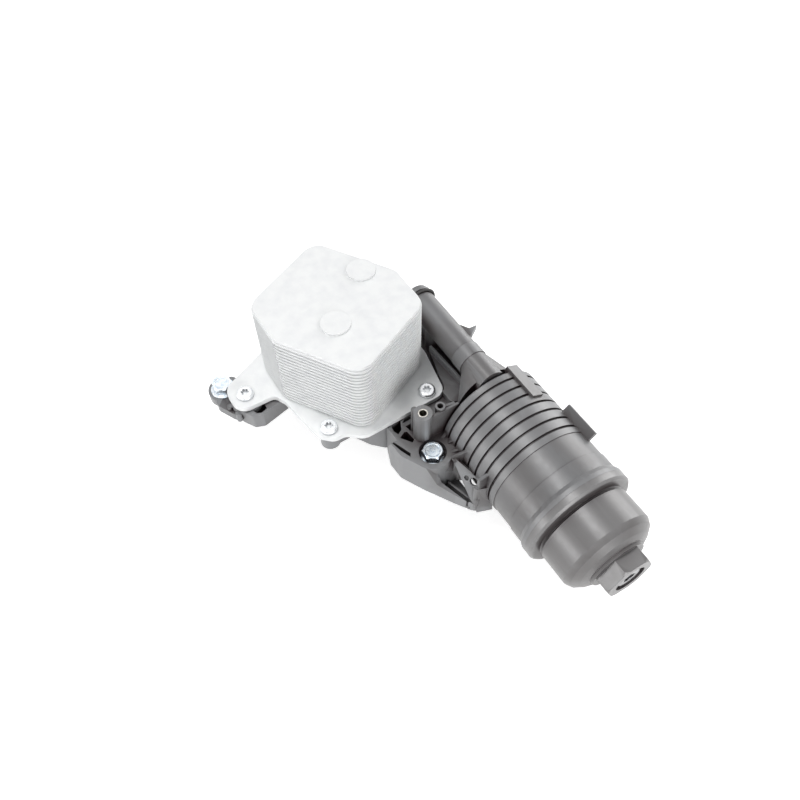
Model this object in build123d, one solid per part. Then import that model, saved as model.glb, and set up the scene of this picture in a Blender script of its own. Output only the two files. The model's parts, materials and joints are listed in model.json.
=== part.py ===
from build123d import *

import math
import os

# Oil filter housing with an oil cooler, in millimetres.
# The origin is the centre of the main bolt hole at the face that meets the engine.
# +Z points away from the engine, +X runs along the filter bowl towards its screw cap.

# Datum and main levels
seat_z = 29.0
boss_top_z = 30.0
bowl_axis_y = 53.0
bowl_axis_z = 26.0
mouth_x = 86.0
running_gap = 0.3
seal_gap = 0.05

# Filter bowl
bowl_floor_x = -2.0
bowl_end_x = -14.0
bowl_end_radius = 27.0
rib_radius = 38.8
groove_radius = 37.2
groove_width = 1.8
groove_count = 7
rib_pitch = 7.95
last_groove_x = 45.0
smooth_start_x = 50.6
smooth_radius = 38.3
step_x = 69.3
step_height = 0.5
bowl_bore_radius = 34.0
thread_bore_radius = 36.0
thread_bore_start_x = 62.0
mouth_rim_radius = 40.3
mouth_rim_length = 3.0

# Screw cap
cap_skirt_radius = thread_bore_radius - running_gap
cap_skirt_length = 22.0
cap_wall = 3.0
cap_thread_wall = 4.0
cap_skirt_bore_radius = cap_skirt_radius - cap_thread_wall
cap_rim_length = 6.0
cap_neck_radius = 32.0
cap_neck_length = 3.0
cap_cup_radius = 33.6
cap_cup_end_x = 117.0
cap_dome_x = 126.5
cap_collar_radius = 20.5
cap_collar_length = 2.0
hex_across_flats = 32.0
hex_end_x = 139.3
hex_turn = 25.0
cap_seal_wire = 1.3
cap_seal_x = 81.0
bore_cover_x = 122.0

# Drain plug in the cap
plug_recess_radius = 11.0
plug_recess_depth = 4.5
plug_head_radius = 8.7
plug_head_length = 3.5
plug_shank_radius = 6.0
plug_shank_length = 12.0
plug_running_gap = 0.08
plug_bore_radius = plug_shank_radius + plug_running_gap
plug_socket_across_flats = 8.0
plug_socket_depth = 6.0
plug_seal_wire = 0.9

# Filter element
element_clearance = 0.7
element_end_gap = 13.0
# The element sits in the cup and passes the skirt, so the narrower of the two sets its size.
element_room_radius = min(cap_cup_radius - cap_wall, cap_skirt_bore_radius, bowl_bore_radius)
end_cap_radius = element_room_radius - element_clearance
end_cap_rim = 0.7
media_radius = end_cap_radius - end_cap_rim
media_inner_radius = 16.0
pleat_count = 34
media_start_x = 10.0
media_end_x = cap_cup_end_x - element_end_gap
end_cap_thickness = 2.5
core_radius = 15.2
core_wall = 1.5
core_slot_width = 5.0
core_slot_count = 6
core_slot_rows = 4
spigot_radius = 14.0
spigot_length = 4.0
spigot_seal_wire = 1.0

# Standpipe and bypass valve
standpipe_radius = 9.0
standpipe_bore_radius = 7.4
standpipe_end_gap = 12.0
standpipe_end_x = media_end_x - standpipe_end_gap
standpipe_window_x = 26.0
standpipe_window_length = 24.0
standpipe_window_width = 6.0
standpipe_window_pitch = 34.0
standpipe_window_count = 2
standpipe_root_x = -10.0
bypass_seat_length = 4.0
bypass_hole_radius = 4.6
bypass_poppet_radius = 6.4
bypass_poppet_length = 2.2
bypass_stem_radius = 2.0
bypass_stem_length = 9.0
bypass_lift = 3.5
bypass_spring_wire = 0.55
bypass_spring_radius = 4.4
bypass_spring_turns = 5
bypass_coil_room = 12.5
bypass_spring_length = bypass_coil_room + bypass_lift
bypass_ledge_radius = 3.2
bypass_ledge_length = 2.0

# Check valve at the bowl's floor
check_offset_y = 20.0
check_drop = 16.0
check_y = bowl_axis_y - check_offset_y
check_z = bowl_axis_z - check_drop
check_seat_radius = 6.0
check_seat_length = 4.0
check_hole_radius = 3.6
check_disc_radius = 4.7
check_disc_thickness = 1.4
check_lift = 2.0
check_spring_wire = 0.4
check_spring_radius = 3.2
check_spring_turns = 3
check_spring_room = 3.7
check_cage_wall = 1.1
check_cage_height = check_disc_thickness + check_lift + check_spring_room + check_cage_wall
check_cage_leg_count = 3

# Coolant pipe
pipe_y = bowl_axis_y
pipe_rise = 31.0
pipe_z = bowl_axis_z + pipe_rise
pipe_radius = 10.4
pipe_bore_radius = 7.8
pipe_end_x = -104.0
pipe_shoulder_x = -30.0
pipe_bead_radius = 11.3
pipe_bead_width = 2.5
pipe_seal_wire = 1.0
pipe_seal_from_end = 7.0
pipe_drop_radius = 5.5
pipe_drop_x = -76.0
collar_start_x = -41.0
collar_end_x = -31.0
collar_height = 0.5
pipe_wall = 7.0

# Shelf and rib between the pipe and the cooler, and the hook on the pipe's far side
shelf_z = 36.0
shelf_outline = [(-74, 46), (-66, 42), (-48, 37), (-36, 31), (-24, 31), (-20, 40), (-22, 54), (-74, 54)]
shelf_rib_z = 41.0
shelf_rib_line = [(-70, 44), (-30, 46)]
hook_z = pipe_z + 3.0
hook_thickness = 5.0
hook_outline = [(-68, 56), (-66, 61), (-56, 67), (-55.5, 73), (-51, 66), (-49, 56)]

# Oil cooler
cooler_centre_x = -95.0
cooler_centre_y = -15.0
gasket_thickness = 1.0
gasket_inset = 2.0
base_plate_thickness = 4.0
plate_clearance = 0.8
plate_count = 19
plate_pitch = 3.25
plate_flare = 1.0
top_plate_thickness = 2.6
top_blank_radius = 10.0
top_blank_height = 1.5
cooler_corner_radius = 13.0
stack_half_outline = [(60.0, -15.0), (31.0, 50.0), (-5.0, 50.0)]

# Base plate: corners as x, y and rounding
base_plate_outline = [
    (-33, -33, 11),
    (-33.6, 33, 9),
    (-72, 41, 20),
    (-106, 41, 15),
    (-150, 31, 11),
    (-160, -4, 16),
    (-134, -66, 16),
    (-120, -97.5, 11),
    (-97, -97.5, 10),
    (-96.5, -70, 5),
    (-88, -66, 4),
    (-50, -60, 8),
    (-42, -52, 8),
    (-42, -44, 7),
]

# Cooler screws, from the datum
screw_places = [(-51.8, -50.7), (-41.3, 22.4), (-108.0, -86.6), (-138.2, 20.7)]
screw_radius = 3.0
screw_head_radius = 6.1
screw_head_height = 3.6
screw_head_rounding = 1.8
screw_length = 16.0
screw_tip_z = seat_z + gasket_thickness + base_plate_thickness - screw_length
screw_socket_radius = 2.3
screw_socket_depth = 2.4
socket_lobe_count = 6
insert_radius = 4.6
insert_length = 8.0
screw_hole_radius = 3.4
screw_boss_radius = 7.0

# Mounting bolts
bolt_places = [(0.0, 0.0), (-128.6, -96.0), (-150.0, 50.0)]
ear_floor_z = 17.0
bolt_foot_z = [0.0, ear_floor_z, 0.0]
bolt_radius = 4.0
bolt_waist_radius = 3.6
bolt_flange_radius = 8.9
bolt_flange_height = 2.0
bolt_hex_across_flats = 13.0
bolt_head_height = 8.0
bolt_hex_chamfer = 1.0
bolt_thread_length = 18.0
sleeve_radius = 6.0
sleeve_bore_radius = 4.5
bolt_seat_z = 24.0
boss_radius = 13.4
boss_recess_radius = 9.5
outer_boss_radius = 11.0

# O-rings about the ports in the engine face
port_seal_radius = 11.6
port_seal_wire = 1.4

# Square cores that lighten the block from the engine's side
core_size = 12.0
core_pitch = 14.6
core_start = (-140.0, -44.0)
core_column_count = 9
core_row_count = 8
core_ceiling_z = 24.0

# Moulded walls
wall = 2.6
pocket_floor = 5.0
block_outline = [
    (-35, -15.4),
    (-34, 24),
    (-12, 34),
    (-12, 72),
    (-118, 72),
    (-146, 34),
    (-148, -4),
    (-130, -52),
    (-100, -53),
    (-84, -47),
    (-44, -24),
]
block_corner = 6.0

# Skirt between the cooler, the main bolt and the bowl
skirt_outline = [
    (-35, -15.4, 2),
    (-22, -20.5, 5),
    (-9, -20, 10),
    (8, -11.5, 20),
    (28.3, 0.4, 20),
    (40, 8, 8),
    (45, 21, 3),
    (10, 34, 0),
    (-36, 34, 0),
]
skirt_ramps = [
    [(-38, 0), (-35, 1), (-20.5, boss_top_z), (-20.5, 40), (-38, 40)],
    [(9, boss_top_z), (16, 15), (34, 10), (48, 9), (48, 40), (9, 40)],
]
ramp_depth_y = [(-30.0, -15.6), (-30.0, 7.5)]
pocket_outlines = [
    [(-33, -13), (-28, -13.5), (-24.2, -12.2), (-26, -8.5), (-33, -5)],
    [(-21, -18.4), (-7, -13.2), (-4.6, -14.8), (-12, -17.6), (-20, -19.4)],
    [(-21, -12.6), (-13.5, -7.5), (-15, -5), (-23, -6), (-23.6, -8)],
    [(-27, -4.5), (-22, -3.6), (-20.5, 4), (-21, 10), (-27, 10)],
    [(-33, -2), (-30.3, -5), (-30.3, 13), (-33, 14)],
]
through_pocket = [(14.5, 6.5), (12, -4.5), (20, -1.6), (36, 5.2), (38, 9.5), (41, 24), (14.5, 24)]

# Tower beside the cooler and its small neighbour
tower_place = (-15.3, 1.7)
tower_radius = 6.4
tower_top_z = 56.0
tower_hole_radius = 2.6
tower_hole_depth = 20.0
tower_insert_radius = 3.3
tower_insert_length = 12.0
tower_lug_offset = (-7.1, -2.1)
tower_lug_radius = 2.4
tower_lug_drop = 3.0
small_boss_place = (-14.0, 14.5)
small_boss_radius = 3.4
small_boss_hole_radius = 2.1
small_boss_hole_depth = 12.0
gusset_drop = 2.0
gusset_wall = 1.8
small_boss_gusset_end = (-12.5, 25.0)
tower_gusset_line = [(-11.2, 3.0), (-10.8, 27.0)]

# Brackets on the bowl's near side
gusset_plate = [(13.0, 9.5, 30.0), (31.0, 14.5, 28.0), (37.0, 6.0, 13.0)]
gusset_plate_outline = [(-3, 0.5), (14, 0), (22, -1.2), (28, -6), (30, -18.6), (23.9, -17.1), (0, -2.2)]
gusset_plate_wall = 2.2
bracket_hole_radius = 2.9
bracket_hole_offset = (19.0, -4.5)
bracket_relief = 0.6
bracket_slot_radius = 1.8
bracket_slot_offset = (13.4, -5.8)
tab_foot = [(40.7, 9.4), (44.5, 20.0)]
tab_top = [(38.9, 9.3), (38.4, 17.0)]
tab_top_z = 40.0
tab_wall = 2.4
fin_line = [(44.0, 17.0), (49.0, 24.0)]
fin_levels = (18.0, 37.0)
boss_rib_wall = 2.0
boss_ribs = [
    ((-5.6, 11.5), (-7.2, 17.5), 33.3),
    ((-0.5, 12.5), (3.0, 20.0), 38.4),
    ((6.5, 10.5), (10.0, 17.5), 33.0),
    ((10.5, 8.0), (18.2, 21.0), 43.0),
]

# Clip plates on the bowl
near_clip_angle = 63.0
near_clip_x = [-12.0, 17.0]
near_clip_size = (3.2, 10.0)
far_clip_angle = 40.0
far_clip_x = [31.0, 58.0]
far_clip_size = (8.2, 3.2)
clip_sink = 1.0

# Arm under the cooler's outer lobe
arm_top_z = seat_z
arm_block_floor_z = 15.0
arm_block_outline = [
    (-108, -95, 3),
    (-101.5, -95, 4),
    (-92, -89.5, 3),
    (-89.5, -83, 2),
    (-97, -50, 2),
    (-118, -50, 2),
    (-116, -80, 3),
]
arm_pocket = [(-98.6, -88.2), (-99.2, -78), (-93, -78), (-91.6, -82.6), (-93, -86)]
lobe_rim_radius = 11.4
lobe_rim_height = 4.5
ear_outline = [(-139, -100, 4), (-118, -106, 6), (-104, -99, 3), (-100, -84, 3), (-126, -80, 5), (-136, -86, 5)]
ear_lugs = [(-110.4, -99.0), (-101.6, -96.6)]
ear_lug_radius = 2.2
near_arm_outline = [(-66, -34), (-59, -52), (-46, -50), (-46, -25)]
near_arm_floor_z = 19.0
back_arm_outline = [(-128, 60), (-146, 61), (-160, 52), (-158, 44), (-146, 30), (-128, 30)]

# Oil and coolant ways
channel_radius = 8.0
channel_floor_z = 12.0
oil_in_place = (-80.0, -24.0)
oil_out_place = (-78.0, 14.0)
coolant_in_place = (-116.0, -32.0)
coolant_out_place = (-112.0, 14.0)
clean_outlet_place = (-46.0, 41.0)
clean_cross_radius = 7.0
clean_cross_overrun = 4.0


def turned(profile):
    """Solid of revolution about the bowl's axis, from (x, radius) points."""
    edge = Polyline(*[(x, 0, radius) for x, radius in profile], close=True)
    return Pos(0, bowl_axis_y, bowl_axis_z) * revolve(make_face(edge), Axis.X)


def rod(x0, x1, radius, y=bowl_axis_y, z=bowl_axis_z):
    """Cylinder along X between two stations."""
    return Pos((x0 + x1) / 2, y, z) * Rotation(0, 90, 0) * Cylinder(radius, x1 - x0)


def post(place, z0, z1, radius):
    """Upright cylinder between two levels."""
    return Pos(place[0], place[1], (z0 + z1) / 2) * Cylinder(radius, z1 - z0)


def slab(outline, z0, z1, corner=0.0):
    """Upright prism on a polygon, with rounded corners."""
    face = make_face(Polyline(*outline, close=True))
    if corner:
        face = fillet(face.vertices(), corner)
    return Pos(0, 0, z0) * extrude(face, z1 - z0)


def posts(places, z0, z1, radius):
    """The same upright cylinder at several places."""
    return Part() + [post(place, z0, z1, radius) for place in places]


def drill(start, end, radius):
    """Cylinder between two points on one level."""
    length = math.dist(start, end)
    angle = math.degrees(math.atan2(end[1] - start[1], end[0] - start[0]))
    middle = Pos((start[0] + end[0]) / 2, (start[1] + end[1]) / 2, start[2])
    return middle * Rotation(0, 0, angle) * Rotation(0, 90, 0) * Cylinder(radius, length)


def rounded(corners):
    """Face on a polygon whose corners are given as x, y and rounding."""
    face = make_face(Polyline(*[corner[:2] for corner in corners], close=True))
    for x, y, radius in corners:
        if radius:
            nearest = face.vertices().sort_by_distance((x, y, 0))[0]
            face = fillet(nearest, radius)
    return face


def rounded_slab(corners, z0, z1):
    """Upright prism on a polygon with its own rounding at each corner."""
    return Pos(0, 0, z0) * extrude(rounded(corners), z1 - z0)


def side_prism(points, y0, y1):
    """Prism along Y on an outline of x and z."""
    face = make_face(Polyline(*[(x, y0, z) for x, z in points], close=True))
    return extrude(face, y1 - y0, dir=(0, 1, 0))


def web(start, end, z0, z1, thickness=wall):
    """Upright wall between two points."""
    length = math.dist(start, end)
    angle = math.degrees(math.atan2(end[1] - start[1], end[0] - start[0]))
    middle = Pos((start[0] + end[0]) / 2, (start[1] + end[1]) / 2, (z0 + z1) / 2)
    return middle * Rotation(0, 0, angle) * Box(length, thickness, z1 - z0)


def ring(x, radius, wire):
    """O-ring about the bowl's axis."""
    return Pos(x, bowl_axis_y, bowl_axis_z) * Rotation(0, 90, 0) * Torus(radius, wire)


def coil(x0, length, radius, wire, turns, y=bowl_axis_y, z=bowl_axis_z):
    """Compression spring along X with its wire inside the given length."""
    pitch = (length - 2 * wire) / turns
    path = Helix(pitch, length - 2 * wire, radius)
    profile = Plane(origin=path @ 0, z_dir=path % 0) * Circle(wire)
    spring = sweep(profile, path=path)
    return Pos(x0 + wire, y, z) * Rotation(0, 90, 0) * spring


def stack_outline():
    """Corners of the cooler's six-sided plan, seen from above."""
    near = [(cooler_centre_x + x, cooler_centre_y + y) for x, y in stack_half_outline]
    far = [(cooler_centre_x - x, cooler_centre_y - y) for x, y in stack_half_outline]
    return near + far


def stack_face(margin):
    """Plan of the cooler, grown by a margin, with rounded corners."""
    face = make_face(Polyline(*stack_outline(), close=True))
    face = fillet(face.vertices(), cooler_corner_radius)
    return offset(face, margin) if margin else face


def bowl_outside():
    """Outer profile of the bowl: end cone, ribs, smooth part, step and mouth rim."""
    step_radius = smooth_radius + step_height
    first_groove_x = last_groove_x - rib_pitch * (groove_count - 1)
    profile = [
        (bowl_end_x, 0),
        (bowl_end_x, bowl_end_radius),
        (first_groove_x - rib_pitch + groove_width, rib_radius - 1),
        (first_groove_x - rib_pitch + groove_width + 1, rib_radius),
    ]
    for index in range(groove_count):
        x = first_groove_x + index * rib_pitch
        profile += [
            (x - groove_width / 2, rib_radius),
            (x - groove_width / 2, groove_radius),
            (x + groove_width / 2, groove_radius),
            (x + groove_width / 2, rib_radius),
        ]
    profile += [
        (smooth_start_x, rib_radius),
        (smooth_start_x, smooth_radius),
        (step_x, smooth_radius),
        (step_x, step_radius),
        (mouth_x - 2 * mouth_rim_length, step_radius),
        (mouth_x - mouth_rim_length, mouth_rim_radius),
        (mouth_x, mouth_rim_radius),
        (mouth_x, 0),
    ]
    return turned(profile)


def bowl_inside():
    """The space inside the bowl, with the wider threaded mouth and the outlet bore."""
    lead_in = 0.8
    profile = [
        (bowl_floor_x, 0),
        (bowl_floor_x, bowl_bore_radius),
        (thread_bore_start_x - 2, bowl_bore_radius),
        (thread_bore_start_x, thread_bore_radius),
        (mouth_x - lead_in, thread_bore_radius),
        (mouth_x, thread_bore_radius + lead_in),
        (mouth_x + 1, thread_bore_radius + lead_in),
        (mouth_x + 1, 0),
    ]
    return turned(profile)


def pipe_outside():
    """Coolant pipe along the bowl's back end, with its collar, bead and shoulder."""
    pipe = rod(pipe_end_x, bowl_end_x + 4, pipe_radius, pipe_y, pipe_z)
    pipe += rod(collar_start_x, collar_end_x, pipe_radius + collar_height, pipe_y, pipe_z)
    bead_x = pipe_end_x + 2 * pipe_bead_width
    pipe += rod(bead_x - pipe_bead_width, bead_x, pipe_bead_radius, pipe_y, pipe_z)
    wide = Pos(bowl_end_x, bowl_axis_y, bowl_axis_z + 13) * Rotation(0, 90, 0)
    wide_face = wide * Circle(bowl_end_radius - 3)
    narrow = Pos(pipe_shoulder_x, pipe_y, pipe_z) * Rotation(0, 90, 0)
    narrow_face = narrow * Circle(pipe_radius)
    shoulder = loft([wide_face.face(), narrow_face.face()])
    return pipe + shoulder


def seat_block():
    """The block under the cooler that carries the oil and coolant channels."""
    return slab(block_outline, 0, seat_z, block_corner)


def skirt():
    """Ribbed skirt between the cooler's seat, the main bolt and the bowl."""
    body = rounded_slab(skirt_outline, 0, boss_top_z)
    for ramp, (y0, y1) in zip(skirt_ramps, ramp_depth_y):
        body -= side_prism(ramp, y0, y1)
    for outline in pocket_outlines:
        body -= slab(outline, pocket_floor, boss_top_z + 1)
    body -= slab(through_pocket, -1, boss_top_z + 1)
    return body


def screw_bosses():
    """Bosses for the cooler's screws, with the arms that carry the two nearest the camera."""
    body = slab(near_arm_outline, near_arm_floor_z, seat_z, wall)
    for place in screw_places:
        body += post(place, near_arm_floor_z - 1, seat_z, screw_boss_radius)
    return body


def arms():
    """Outer arm with its block, rim and bolt ear, and the arm to the bolt behind the cooler."""
    block = rounded_slab(arm_block_outline, arm_block_floor_z, arm_top_z)
    block -= slab(arm_pocket, arm_block_floor_z + wall, arm_top_z + 1)
    rim = post(screw_places[2], arm_top_z - lobe_rim_height, arm_top_z, lobe_rim_radius)
    ear = rounded_slab(ear_outline, ear_floor_z, bolt_seat_z)
    ear += post(bolt_places[1], ear_floor_z, bolt_seat_z, outer_boss_radius)
    for place in ear_lugs:
        ear += post(place, ear_floor_z + 2, arm_top_z - 2, ear_lug_radius)
    back = slab(back_arm_outline, 0, bolt_seat_z - wall, wall)
    back += post(bolt_places[2], 0, bolt_seat_z, outer_boss_radius)
    return block + rim + ear + back


def towers():
    """The tall boss beside the cooler, its lug, its small neighbour and their gusset walls."""
    lug = (tower_place[0] + tower_lug_offset[0], tower_place[1] + tower_lug_offset[1])
    gusset_top = tower_top_z - gusset_drop
    body = post(tower_place, 0, tower_top_z, tower_radius)
    body += post(lug, pocket_floor, tower_top_z - tower_lug_drop, tower_lug_radius)
    body += web(tower_place, lug, pocket_floor, tower_top_z - tower_lug_drop, wall)
    body += post(small_boss_place, 0, tower_top_z, small_boss_radius)
    body += web(small_boss_place, small_boss_gusset_end, pocket_floor, gusset_top, gusset_wall)
    body += web(*tower_gusset_line, pocket_floor, gusset_top, gusset_wall)
    return body


def sloped_rib(start, end, end_z):
    """Thin rib whose top rises from the boss to the bowl's surface."""
    length = math.dist(start, end)
    angle = math.degrees(math.atan2(end[1] - start[1], end[0] - start[0]))
    side = make_face(
        Polyline((0, 0, 0), (length, 0, 0), (length, 0, end_z), (0, 0, boss_top_z), close=True)
    )
    rib = extrude(side, boss_rib_wall / 2, dir=(0, 1, 0), both=True)
    return Pos(start[0], start[1], 0) * Rotation(0, 0, angle) * rib


def gusset_frame():
    """Frame of the slanted gusset between the main boss and the tab, X along its upper edge."""
    origin, along, down = (Vector(*point) for point in gusset_plate)
    x_dir = (along - origin).normalized()
    normal = x_dir.cross(down - origin).normalized()
    if normal.Z < 0:
        normal = -normal
    return Plane(origin=origin, x_dir=x_dir, z_dir=normal)


def slanted_gusset():
    """Slanted plate with a small slot near the tab."""
    frame = gusset_frame()
    plate = frame * extrude(make_face(Polyline(*gusset_plate_outline, close=True)), -gusset_plate_wall)
    return plate - frame * Pos(*bracket_slot_offset) * Cylinder(bracket_slot_radius, 4 * gusset_plate_wall)


def bracket_hole():
    """Round hole through the slanted gusset, with wider room behind it cleared by the same core."""
    depth = 2 * gusset_plate_wall
    hole = Pos(*bracket_hole_offset) * Cylinder(bracket_hole_radius, 2 * gusset_plate_wall)
    room = Pos(*bracket_hole_offset, -gusset_plate_wall - depth / 2)
    return gusset_frame() * (hole + room * Cylinder(bracket_hole_radius + bracket_relief, depth))


def upright_tab():
    """Tab at the end of the skirt that leans back a little towards its top."""
    foot = tab_section(tab_foot, 0)
    top = tab_section(tab_top, tab_top_z)
    return loft([foot, top])


def tab_section(line, z):
    """Thin section of the tab at one level."""
    (x0, y0), (x1, y1) = line
    length = math.dist(line[0], line[1])
    angle = math.degrees(math.atan2(y1 - y0, x1 - x0))
    middle = Pos((x0 + x1) / 2, (y0 + y1) / 2, z) * Rotation(0, 0, angle)
    return (middle * Rectangle(length, tab_wall)).face()


def clip_plate(reach, angle, size):
    """Plate along the bowl at one angle around it, sunk a little into the ribs."""
    height, width = size
    middle = Pos(sum(reach) / 2, groove_radius + (height - clip_sink) / 2, 0)
    plate = middle * Box(reach[1] - reach[0], height + clip_sink, width)
    return Pos(0, bowl_axis_y, bowl_axis_z) * Rotation(angle, 0, 0) * plate


def bowl_brackets():
    """What stands between the main boss and the bowl, and the two clip plates on the bowl."""
    body = slanted_gusset() + upright_tab()
    for start, end, end_z in boss_ribs:
        body += sloped_rib(start, end, end_z)
    body += web(*fin_line, *fin_levels, boss_rib_wall)
    body += clip_plate(near_clip_x, near_clip_angle, near_clip_size)
    body += clip_plate(far_clip_x, far_clip_angle, far_clip_size)
    return body


def pipe_supports():
    """Wall under the coolant pipe, its drop, the outlet duct, the shelf with its rib, and the hook."""
    wall_start = pipe_end_x + pipe_seal_from_end + 2 * wall
    length = bowl_end_x - wall_start
    height = pipe_z - seat_z + 2
    body = Pos(wall_start + length / 2, pipe_y, pipe_z - height / 2) * Box(length, pipe_wall, height)
    body += post((pipe_drop_x, pipe_y), 1, pipe_z, pipe_drop_radius + wall)
    outlet_x, outlet_y = clean_outlet_place
    body += rod(outlet_x - channel_radius - wall, bowl_end_x + 1, standpipe_bore_radius + wall)
    cross_end = (outlet_x, outlet_y - clean_cross_overrun - wall, bowl_axis_z)
    body += drill((outlet_x, bowl_axis_y, bowl_axis_z), cross_end, clean_cross_radius + wall)
    body += slab(shelf_outline, seat_z - 1, shelf_z, wall)
    body += web(*shelf_rib_line, shelf_z - 1, shelf_rib_z, boss_rib_wall)
    body += slab(hook_outline, hook_z - hook_thickness, hook_z)
    return body


def engine_ports():
    """Places of the ports that lead into the engine."""
    return [oil_in_place, coolant_in_place, clean_outlet_place]


def keep_out():
    """Plan of all that the cores stay clear of: ports with their seals, drillings and bosses."""
    ring_reach = port_seal_radius + port_seal_wire + wall
    plan = Sketch() + [Pos(x, y) * Circle(ring_reach) for x, y in engine_ports()]
    plan += [Pos(x, y) * Circle(channel_radius + wall) for x, y in (oil_out_place, coolant_out_place)]
    plan += [Pos(x, y) * Circle(screw_boss_radius + 1) for x, y in screw_places]
    plan += Pos(pipe_drop_x, pipe_y) * Circle(pipe_drop_radius + wall)
    for start, end, radius in (
        (oil_out_place, (bowl_floor_x, check_y), check_hole_radius),
        (coolant_out_place, (pipe_drop_x, pipe_y), pipe_drop_radius),
        ((clean_outlet_place[0], bowl_axis_y), (bowl_floor_x, bowl_axis_y), standpipe_radius),
    ):
        angle = math.degrees(math.atan2(end[1] - start[1], end[0] - start[0]))
        middle = Pos((start[0] + end[0]) / 2, (start[1] + end[1]) / 2)
        plan += middle * Rotation(0, 0, angle) * Rectangle(math.dist(start, end), 2 * (radius + wall))
    return plan


def cores():
    """Cutter for the square cores, wherever one fits between the channels, seals and bosses."""
    room = offset(make_face(Polyline(*block_outline, close=True)), -wall) - keep_out()
    cell = Rectangle(core_size, core_size)
    cut = Part()
    for column in range(core_column_count):
        for row in range(core_row_count):
            place = Pos(core_start[0] + column * core_pitch, core_start[1] + row * core_pitch)
            shared = place * cell & room
            if shared is not None and sum(face.area for face in shared.faces()) > 0.999 * core_size**2:
                cut += place * Pos(0, 0, -1) * extrude(cell, core_ceiling_z + 1)
    return cut


def channels():
    """Oil and coolant ways through the housing."""
    cut = posts((oil_in_place, coolant_in_place), -1, seat_z + 1, channel_radius)
    cut += post(oil_out_place, check_z - check_hole_radius - 1, seat_z + 1, channel_radius)
    cut += post(coolant_out_place, channel_floor_z, seat_z + 1, channel_radius)
    # The cleaned oil leaves the bowl's centre and turns down to the engine face.
    cut += rod(standpipe_root_x, bowl_floor_x + 1, standpipe_radius)
    outlet_x, outlet_y = clean_outlet_place
    cut += rod(outlet_x - channel_radius, standpipe_root_x + 1, standpipe_bore_radius)
    cross_end = (outlet_x, outlet_y - clean_cross_overrun, bowl_axis_z)
    cut += drill((outlet_x, bowl_axis_y, bowl_axis_z), cross_end, clean_cross_radius)
    cut += post(clean_outlet_place, -1, bowl_axis_z, channel_radius)
    # The cooled oil runs to the check valve in the bowl's floor.
    feed_start = (oil_out_place[0], oil_out_place[1], check_z)
    feed_end = (bowl_floor_x - check_seat_length + 0.5, check_y, check_z)
    cut += drill(feed_start, feed_end, check_hole_radius)
    cut += rod(bowl_floor_x - check_seat_length, bowl_floor_x + 1, check_seat_radius, check_y, check_z)
    return cut


def pipe_inside():
    """Bore of the coolant pipe and its drop to the cooler's seat."""
    bore = rod(pipe_end_x - 1, pipe_shoulder_x - 2, pipe_bore_radius, pipe_y, pipe_z)
    drop_place = (pipe_drop_x, pipe_y)
    drop = post(drop_place, channel_floor_z, pipe_z, pipe_drop_radius)
    drill_z = channel_floor_z + pipe_drop_radius
    start = (*coolant_out_place, drill_z)
    end = (*drop_place, drill_z)
    return bore + drop + drill(start, end, pipe_drop_radius - 1)


def fastener_holes():
    """Holes for bolts with their sleeves, screws with their inserts, and the towers' holes."""
    cut = post(tower_place, tower_top_z - tower_insert_length, tower_top_z + 1, tower_insert_radius)
    cut += post(tower_place, tower_top_z - tower_hole_depth, tower_top_z, tower_hole_radius)
    cut += post(small_boss_place, tower_top_z - small_boss_hole_depth, tower_top_z + 1, small_boss_hole_radius)
    for place in bolt_places:
        cut += post(place, -1, bolt_seat_z + 1, sleeve_radius)
        cut += post(place, bolt_seat_z, boss_top_z + 1, boss_recess_radius)
    for place in screw_places:
        cut += post(place, seat_z - insert_length, seat_z + 1, insert_radius)
        cut += post(place, screw_tip_z - 1, seat_z, screw_hole_radius)
    return cut


def housing():
    """The whole moulding with its holes."""
    body = seat_block() + skirt() + screw_bosses() + arms()
    body += post(bolt_places[0], 0, boss_top_z, boss_radius)
    body += pipe_supports() + towers() + bowl_brackets()
    body += bowl_outside() + pipe_outside()
    # The cooler's plate sits in clear air above the seat.
    body -= base_plate_blank(seat_z, tower_top_z - seat_z, plate_clearance)
    body -= bowl_inside()
    body -= channels()
    body -= pipe_inside()
    body -= fastener_holes()
    body -= bracket_hole()
    body -= port_seal_grooves()
    body -= cores()
    return body.solids().sort_by(SortBy.VOLUME)[-1]


def port_seal_grooves():
    """Round grooves in the engine face about the three ports that lead into the engine."""
    depth = 2 * port_seal_wire + seal_gap
    cut = posts(engine_ports(), -1, depth, port_seal_radius + port_seal_wire + seal_gap)
    return cut - posts(engine_ports(), -2, depth + 1, port_seal_radius - port_seal_wire - seal_gap)


def port_seals():
    """Three O-rings in the engine face."""
    return Compound([
        Pos(x, y, port_seal_wire) * Torus(port_seal_radius, port_seal_wire) for x, y in engine_ports()
    ])


def hexagon(across_flats):
    """Regular hexagon by its distance across flats."""
    return RegularPolygon(across_flats / 2, 6, major_radius=False)


def facing_cap(x):
    """Frame on the bowl's axis whose Z points out of the cap."""
    return Pos(x, bowl_axis_y, bowl_axis_z) * Rotation(0, 90, 0)


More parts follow.
